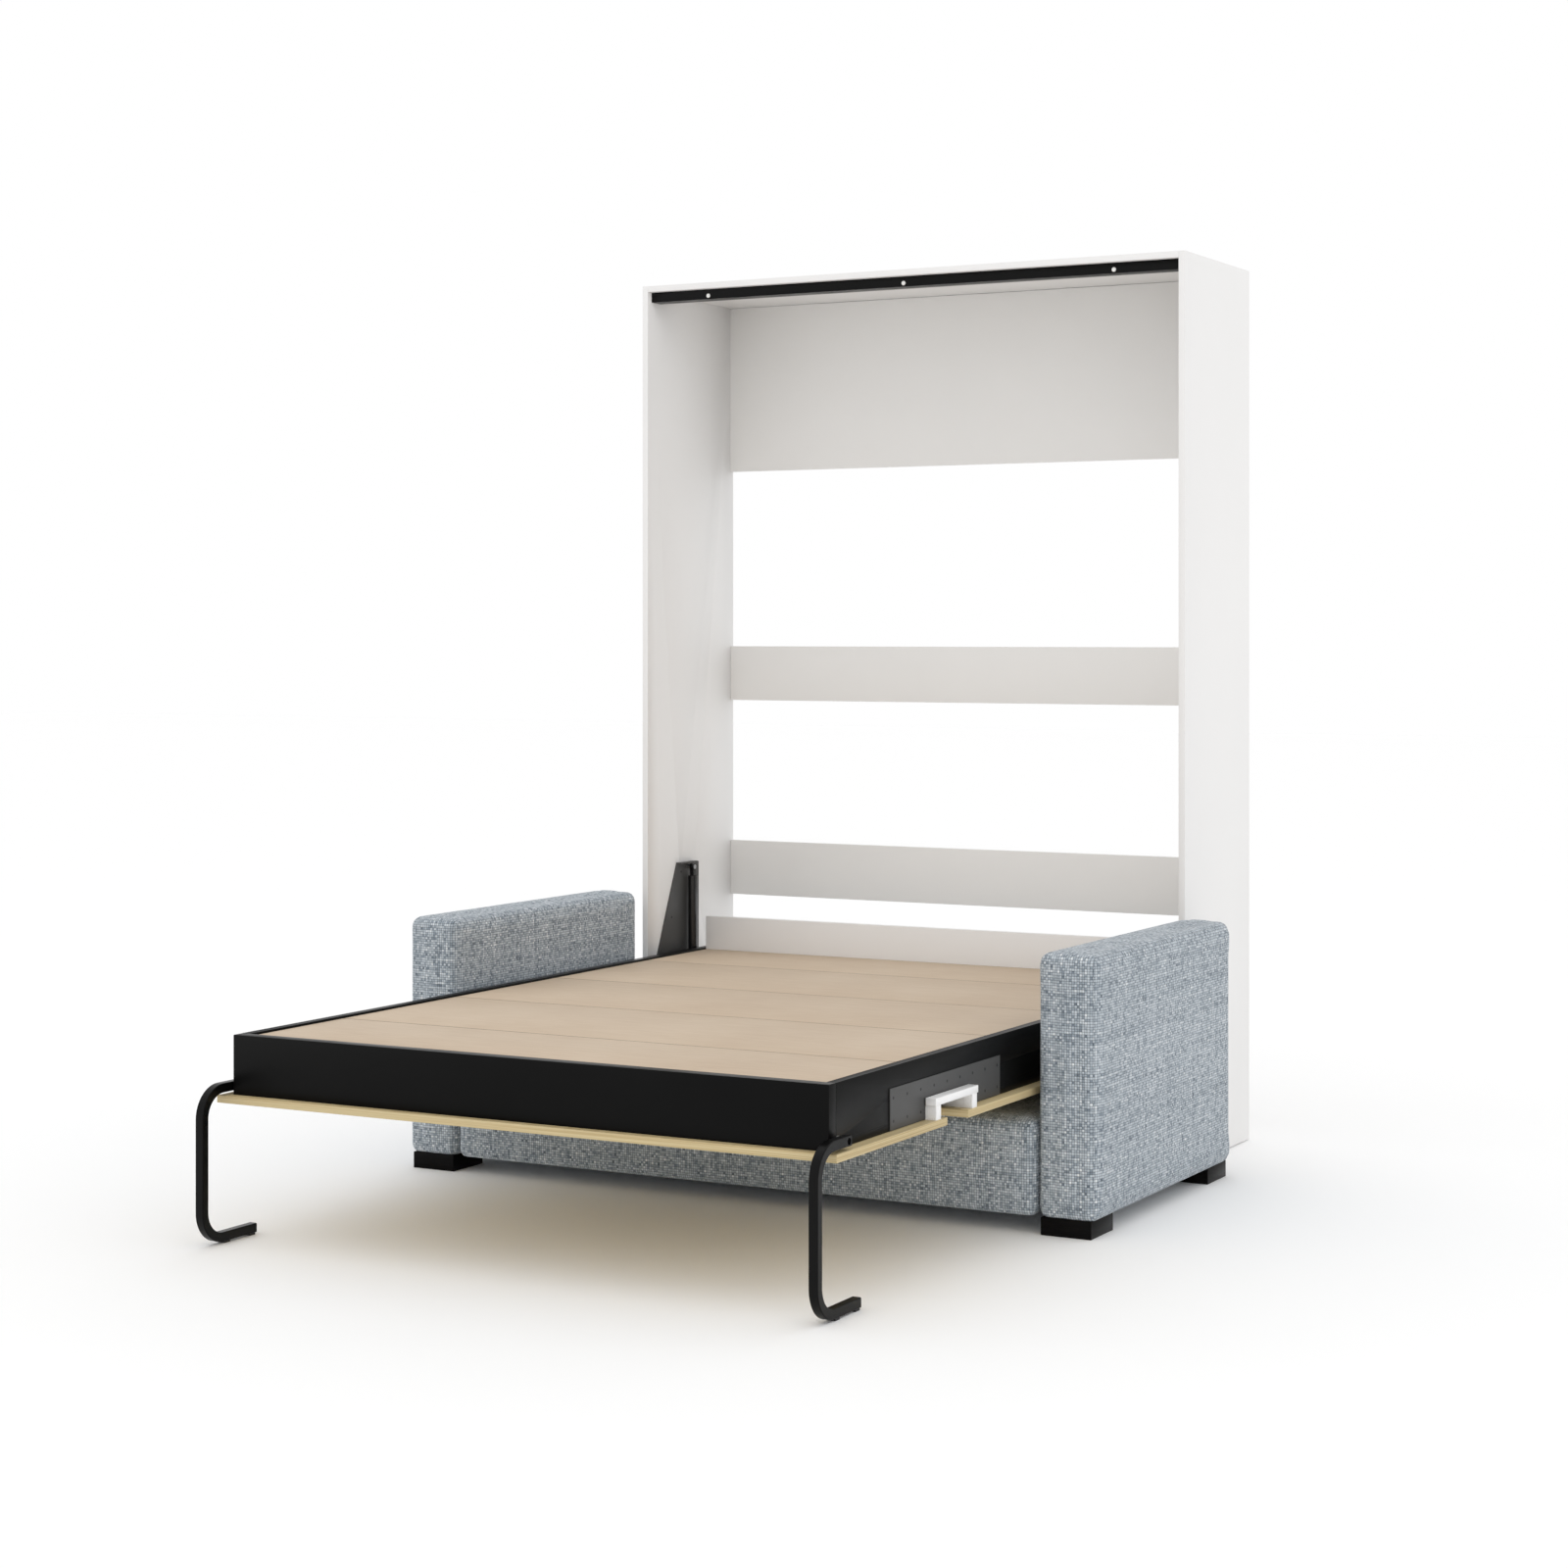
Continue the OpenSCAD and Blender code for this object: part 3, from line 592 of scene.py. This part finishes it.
def ease(piece: bpy.types.Object, radius: float, segments: int = 2) -> None:
    """Rounds a piece's sharp edges a little, and shades the rest flat.

    Args:
        piece: The object to change.
        radius: Width of the rounding, in metres.
        segments: Faces across each rounding.
    """
    bevel = piece.modifiers.new("ease", "BEVEL")
    bevel.width = radius
    bevel.segments = segments
    bevel.limit_method = "ANGLE"
    bevel.angle_limit = math.radians(40)
    bevel.harden_normals = True
    piece.data.shade_smooth()
    bake_modifiers(piece)


def cad_shape(node: str) -> bmesh.types.BMesh:
    """Copies a CAD node's shape, with each flat face as one face.

    Args:
        node: The CAD node.

    Returns:
        The shape, which the caller frees.
    """
    shape = bmesh.new()
    shape.from_mesh(frame["nodes"][node].data)
    bmesh.ops.remove_doubles(shape, verts=shape.verts, dist=0.01 * MM)
    bmesh.ops.dissolve_limit(shape, angle_limit=math.radians(0.5), verts=shape.verts, edges=shape.edges)
    return shape


def eased_copy(node: str, finish: Finish, radius: float, suffix: str = "eased") -> bpy.types.Object:
    """Makes a copy of a CAD node with eased arrises, which stands for it.

    Args:
        node: The CAD node.
        finish: The finish it gets.
        radius: Width of the rounding, in metres.
        suffix: What the piece's name adds to the node's.

    Returns:
        The new piece, riding on the node's body.
    """
    piece = new_piece(f"{node}_{suffix}", cad_shape(node))
    ease(piece, radius)
    dress(piece, finish)
    settle(piece, BODY_OF[node], node)
    return piece


def settle(piece: bpy.types.Object, body: str, *nodes: str) -> None:
    """Puts a piece on its body, in place of its CAD nodes.

    Args:
        piece: The object.
        body: The CAD body it rides on.
        nodes: The CAD nodes that it stands for.
    """
    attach(piece, body)
    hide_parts(*nodes)
    LOG.info("%s on %s stands for %s", piece.name, body, ", ".join(nodes))


def keep_nodes(finish: Finish, *nodes: str) -> None:
    """Dresses CAD nodes whose shape is right as it is.

    Args:
        finish: Their finish.
        nodes: The nodes' names.
    """
    for node in nodes:
        dress(frame["nodes"][node], finish)
        LOG.info("%s dressed as %s", node, finish.name)


# ---------- upholstery ----------


@dataclass
class PaddedBlock:
    """A block of foam and batting pulled tight in cloth: crowned faces, soft corners, flat underneath.

    Low and high are the corners of the space it fills. It starts shrink inside that space and tuck below it,
    on a net of voxel. The cloth may then swell by cap or draw in by pull_in, and its underside is pressed
    flat at press below the space. Waves are the rates of the cloth's broad and fine waviness per metre, and
    ripple is their height. A tight face, given as an axis and a side, is held back to the space's own face.
    """

    low: Vector
    high: Vector
    corner: float = 25 * MM
    voxel: float = 6 * MM
    shrink: float = 1.5 * MM
    cap: float = 3 * MM
    pull_in: float = 1 * MM
    tuck: float = 6 * MM
    ripple: float = 0.25 * MM
    waves: tuple[float, float] = (7.0, 19.0)
    press: float = 1.5 * MM
    pressure: float = 4.0
    mass: float = 0.3
    quality: int = 4
    frames: int = 18
    tight_faces: tuple[tuple[Axis, int], ...] = ()

    def shape(self, name: str) -> bpy.types.Object:
        """Makes the block a little small, with round corners and an even net.

        Args:
            name: The object's name.

        Returns:
            The block, not yet inflated.
        """
        inset = Vector((self.shrink,) * 3)
        low, high = self.low + inset, self.high - inset
        low.z = self.low.z - self.tuck
        shape = bmesh.new()
        bmesh.ops.create_cube(shape, size=1.0)
        middle, size = (low + high) / 2, high - low
        for vertex in shape.verts:
            vertex.co = Vector(middle[i] + vertex.co[i] * size[i] for i in range(3))
        bmesh.ops.bevel(
            shape, geom=list(shape.edges), offset=self.corner, segments=5, profile=0.5, affect="EDGES"
        )
        piece = new_piece(name, shape)
        remesh = piece.modifiers.new("net", "REMESH")
        remesh.mode = "VOXEL"
        remesh.voxel_size = self.voxel
        bake_modifiers(piece)
        return piece

    def inflate(self, piece: bpy.types.Object) -> None:
        """Blows the block up as cloth under pressure and holds it near its start.

        Args:
            piece: The block, changed in place.
        """
        start = self.points(piece.data)
        cloth = piece.modifiers.new("cloth", "CLOTH")
        cloth.settings.quality = self.quality
        cloth.settings.mass = self.mass
        cloth.settings.use_pressure = True
        cloth.settings.uniform_pressure_force = self.pressure
        cloth.settings.effector_weights.gravity = 0.0
        cloth.point_cache.frame_end = self.frames
        for step in range(1, self.frames + 1):
            bpy.context.scene.frame_set(step)
        graph = bpy.context.evaluated_depsgraph_get()
        swollen = piece.evaluated_get(graph).to_mesh()
        moved = self.points(swollen) - start
        piece.modifiers.clear()
        bpy.context.scene.frame_set(1)
        normals = self.normals(piece.data)
        swell = np.clip((moved * normals).sum(axis=1), -self.pull_in, self.cap)
        self.set_points(piece.data, start + normals * swell[:, None])

    @staticmethod
    def points(mesh: bpy.types.Mesh) -> np.ndarray:
        """Gives a mesh's points.

        Args:
            mesh: The mesh to read.

        Returns:
            Rows of X, Y and Z.
        """
        flat = np.zeros(len(mesh.vertices) * 3)
        mesh.vertices.foreach_get("co", flat)
        return flat.reshape(-1, 3)

    @staticmethod
    def normals(mesh: bpy.types.Mesh) -> np.ndarray:
        """Gives a mesh's point normals.

        Args:
            mesh: The mesh to read.

        Returns:
            Rows of X, Y and Z.
        """
        flat = np.zeros(len(mesh.vertices) * 3)
        mesh.vertices.foreach_get("normal", flat)
        return flat.reshape(-1, 3)

    @staticmethod
    def set_points(mesh: bpy.types.Mesh, points: np.ndarray) -> None:
        """Moves a mesh's points.

        Args:
            mesh: The mesh to change.
            points: Rows of X, Y and Z.
        """
        mesh.vertices.foreach_set("co", points.ravel())
        mesh.update()

    def settle_cloth(self, piece: bpy.types.Object) -> None:
        """Adds the slight waviness of hand-pulled cloth and presses it flat where it rests.

        Args:
            piece: The inflated block, changed in place.
        """
        points = self.points(piece.data)
        broad, fine = self.waves
        waves = np.array(
            [noise.noise(Vector(p) * broad) + 0.5 * noise.noise(Vector(p) * fine) for p in points]
        )
        points += self.normals(piece.data) * (waves * self.ripple)[:, None]
        points[:, 2] = np.maximum(points[:, 2], self.low.z - self.press)
        for axis, sign in self.tight_faces:
            limit = (self.low if sign < 0 else self.high)[axis.value]
            column = points[:, axis.value]
            points[:, axis.value] = np.maximum(column, limit) if sign < 0 else np.minimum(column, limit)
        self.set_points(piece.data, points)

    def build(self, name: str) -> bpy.types.Object:
        """Makes the whole padded block.

        Args:
            name: The object's name.

        Returns:
            The finished piece, undressed.
        """
        piece = self.shape(name)
        self.inflate(piece)
        self.settle_cloth(piece)
        smooth = piece.modifiers.new("smooth", "SUBSURF")
        smooth.levels = 1
        smooth.render_levels = 1
        bake_modifiers(piece)
        piece.data.shade_smooth()
        return piece


@dataclass
class Sofa:
    """The low seat between two slab arms, on black block feet.

    An arm cover's space reaches arm_swell past its frame's block on the outside, and stops arm_press below
    the block's top.
    """

    arm_voxel: float = 6 * MM
    arm_swell: float = 5 * MM
    arm_press: float = 4 * MM
    seat_voxel: float = 8 * MM
    seat_corner: float = 22 * MM
    foot_edge: float = 1.5 * MM

    def build_arms(self) -> None:
        """Makes the right arm, swollen outward and pressed down on top, and mirrors it to the left."""
        low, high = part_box("arm_upholstery_right")
        high = high + Vector((self.arm_swell, 0, -self.arm_press))
        block = PaddedBlock(low, high, voxel=self.arm_voxel, tight_faces=((Axis.X, -1),))
        right = block.build("arm_cover_right")
        mesh = right.data.copy()
        mesh.transform(((-1, 0, 0, 0), (0, 1, 0, 0), (0, 0, 1, 0), (0, 0, 0, 1)))
        mesh.flip_normals()
        left = bpy.data.objects.new("arm_cover_left", mesh)
        bpy.context.scene.collection.objects.link(left)
        for piece, side in ((right, "right"), (left, "left")):
            dress(piece, WEAVE)
            settle(piece, "cabinet", f"arm_upholstery_{side}")

    def build_seat(self) -> None:
        """Makes the seat, which fits between the arms."""
        low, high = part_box("seat_upholstery")
        sides = ((Axis.X, -1), (Axis.X, 1))
        block = PaddedBlock(low, high, voxel=self.seat_voxel, corner=self.seat_corner, tight_faces=sides)
        seat = block.build("seat_cover")
        dress(seat, WEAVE)
        settle(seat, "cabinet", "seat_upholstery")

    def build(self) -> None:
        """Makes the sofa's covers and dresses its feet and frames."""
        self.build_arms()
        self.build_seat()
        for side in SIDES:
            eased_copy(f"sofa_feet_{side}", BLACK_LACQUER, self.foot_edge)
        keep_nodes(PINE, "seat_frame", "arm_frame_left", "arm_frame_right", "sofa_spacers")


# ---------- cabinet ----------


@dataclass
class Cabinet:
    """The open cabinet: sides, top, back boards, stop bar and the mechanism's brackets."""

    board_edge: float = 0.8 * MM
    bar_edge: float = 1.5 * MM
    bumper_edge: float = 0.5 * MM

    def build(self) -> None:
        """Eases and dresses the boards and dresses the fittings."""
        for node in ("cabinet_side_left", "cabinet_side_right", "cabinet_top", "plinth_board"):
            eased_copy(node, WHITE_BOARD, self.board_edge)
        for node in ("upper_back_board", "middle_back_rail", "lower_back_rail", "floor_back_rail"):
            eased_copy(node, BACK_BOARD, self.board_edge)
        eased_copy("stop_bar", BLACK_COAT, self.bar_edge)
        eased_copy("stop_bumpers", WHITE_VINYL, self.bumper_edge)
        keep_nodes(GREY_COAT, "mechanism_bracket_left", "mechanism_bracket_right")
        keep_nodes(BLACK_OXIDE, "bracket_screws")
        keep_nodes(ZINC, "spring_top_pins")
        keep_nodes(GREY_NYLON, "pivot_bushes")
        keep_nodes(WHITE_VINYL, "cabinet_glides")


# ---------- bed ----------


@dataclass
class Handle:
    """The lifting handles: a bar on two ribbed posts at each side of the bed.

    The ribs run inward from a post's outer edge over the bar's width less twice step. Rib is a rib's
    thickness, and its middle lies rib_out of that outside the post's face. Rib_share is its part of the
    pitch, and rib_height its part of the post's height.
    """

    edge: float = 1.2 * MM
    post_edge: float = 0.3 * MM
    step: float = 1.5 * MM
    rib: float = 0.5 * MM
    rib_share: float = 0.6
    rib_height: float = 0.98
    rib_out: float = 0.4
    pitch: float = 4.2 * MM

    def posts(self) -> None:
        """Makes the four posts, with upright ribs on the outer part of the faces that look along the bed."""
        shape = cad_shape("handle_posts")
        for face in [f for f in shape.faces if abs(f.normal.y) > 0.9]:
            self.add_ribs(shape, face)
        piece = new_piece("handle_posts_ribbed", shape)
        ease(piece, self.post_edge)
        dress(piece, WHITE_ABS)
        settle(piece, "bed", "handle_posts")

    def add_ribs(self, shape: bmesh.types.BMesh, face: bmesh.types.BMFace) -> None:
        """Stands thin bars on the part of a post's face that lies under the handle's bar.

        Args:
            shape: The posts' shape, added to.
            face: The face that gets the ribs.
        """
        low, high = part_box("handle_bar_right")
        outer = max((v.co.x for v in face.verts), key=abs)
        width = high.x - low.x - 2 * self.step
        height = max(v.co.z for v in face.verts) - min(v.co.z for v in face.verts)
        centre, out = face.calc_center_median(), face.normal.y
        count = int(width / self.pitch)
        for i in range(count):
            middle = outer - math.copysign((i + 0.5) * width / count, outer)
            for vertex in bmesh.ops.create_cube(shape, size=1.0)["verts"]:
                vertex.co.x = middle + vertex.co.x * self.pitch * self.rib_share
                vertex.co.y = centre.y + out * self.rib * (vertex.co.y + self.rib_out)
                vertex.co.z = centre.z + vertex.co.z * height * self.rib_height

    def build(self) -> None:
        """Makes the bars and the posts."""
        for side in SIDES:
            eased_copy(f"handle_bar_{side}", WHITE_ABS, self.edge, "rounded")
        self.posts()


@dataclass
class Bed:
    """The bed: face panel, rails, deck, headboard, plates and the pivots on it."""

    board_edge: float = 0.8 * MM
    rail_edge: float = 1.2 * MM
    deck_edge: float = 1.6 * MM
    boards: int = 5
    handle: Handle = field(default_factory=Handle)

    def build(self) -> None:
        """Eases and dresses the boards, and dresses the metal."""
        eased_copy("front_panel", OAK, self.board_edge)
        eased_copy("headboard", WHITE_BOARD, self.board_edge)
        for node in ("frame_side_left", "frame_side_right", "frame_foot_rail", "frame_head_rail"):
            eased_copy(node, BLACK_FOIL, self.rail_edge)
        for i in range(1, self.boards + 1):
            eased_copy(f"deck_board_{i}", DECK, self.deck_edge)
        keep_nodes(PINE, "cross_beams")
        keep_nodes(GREY_COAT, "side_plate_left", "side_plate_right", "pivot_plate_left", "pivot_plate_right")
        keep_nodes(BLACK_OXIDE, "plate_screws")
        keep_nodes(ZINC, "pivot_pins", "spring_studs", "leg_bolts")
        keep_nodes(GREY_NYLON, "leg_spacers")
        self.handle.build()


@dataclass
class Supports:
    """The flip legs and the gas springs, which move on their own joints."""

    def build(self) -> None:
        """Dresses the tubes, caps, cylinders and rods."""
        for side in SIDES:
            keep_nodes(BLACK_COAT, f"leg_tube_{side}")
            keep_nodes(BLACK_NYLON, f"leg_caps_{side}")
            keep_nodes(BLACK_ENAMEL, f"spring_cylinder_{side}")
            keep_nodes(CHROME, f"spring_rod_{side}")
            keep_nodes(GREY_NYLON, f"rod_guide_{side}")


# ---------- studio ----------


@dataclass
class Studio:
    """A plain white floor, soft lights and the camera.

    The camera stands at eye, its turn is in degrees and its lens in millimetres.
    """

    eye: Vector = field(default_factory=lambda: Vector((3.2512, -5.8946, 1.2910)))
    turn: float = 28.573
    lens: float = 66.455
    shift: float = -0.0961
    floor_size: float = 60.0
    sky: float = 1.0

    def camera(self) -> None:
        """Makes the camera, level and turned to the left."""
        data = bpy.data.cameras.new("camera")
        data.lens = self.lens
        data.sensor_width = 36.0
        data.shift_y = self.shift
        data.clip_end = 100.0
        eye = bpy.data.objects.new("camera", data)
        eye.location = self.eye
        eye.rotation_euler = (math.radians(90), 0, math.radians(self.turn))
        bpy.context.scene.collection.objects.link(eye)
        bpy.context.scene.camera = eye

    def floor(self) -> None:
        """Makes the floor, white and matt."""
        shape = bmesh.new()
        bmesh.ops.create_grid(shape, x_segments=1, y_segments=1, size=self.floor_size / 2)
        floor = new_piece("floor", shape)
        dress(floor, Finish("studio_floor", "#ffffff", 0.9))

    def light(self, name: str, place: Vector, target: Vector, size: float, power: float) -> None:
        """Makes one softbox.

        Args:
            name: The light's name.
            place: Where it hangs.
            target: What it looks at.
            size: Its width, in metres.
            power: Its power, in watts.
        """
        data = bpy.data.lights.new(name, "AREA")
        data.size = size
        data.energy = power
        lamp = bpy.data.objects.new(name, data)
        lamp.location = place
        lamp.rotation_euler = (target - place).to_track_quat("-Z", "Y").to_euler()
        bpy.context.scene.collection.objects.link(lamp)

    def build(self) -> None:
        """Sets up the whole studio."""
        self.camera()
        self.floor()
        world = bpy.data.worlds.new("studio")
        bpy.context.scene.world = world
        world.use_nodes = True
        background = world.node_tree.nodes["Background"]
        background.inputs["Color"].default_value = (1.0, 1.0, 1.0, 1.0)
        background.inputs["Strength"].default_value = self.sky
        bed, cabinet = Vector((0.0, -0.5, 0.0)), Vector((0.0, 0.0, 1.0))
        self.light("top_softbox", Vector((0.5, -2.0, 6.0)), bed, size=5.0, power=18.0)
        self.light("right_softbox", Vector((6.0, -2.5, 3.0)), cabinet, size=4.0, power=4.0)
        bpy.context.scene.view_settings.view_transform = "Standard"


def main() -> None:
    logging.basicConfig(level=logging.INFO, format="%(name)s: %(message)s")
    Studio().build()
    Cabinet().build()
    Bed().build()
    Supports().build()
    Sofa().build()


if __name__ == "__main__":
    main()
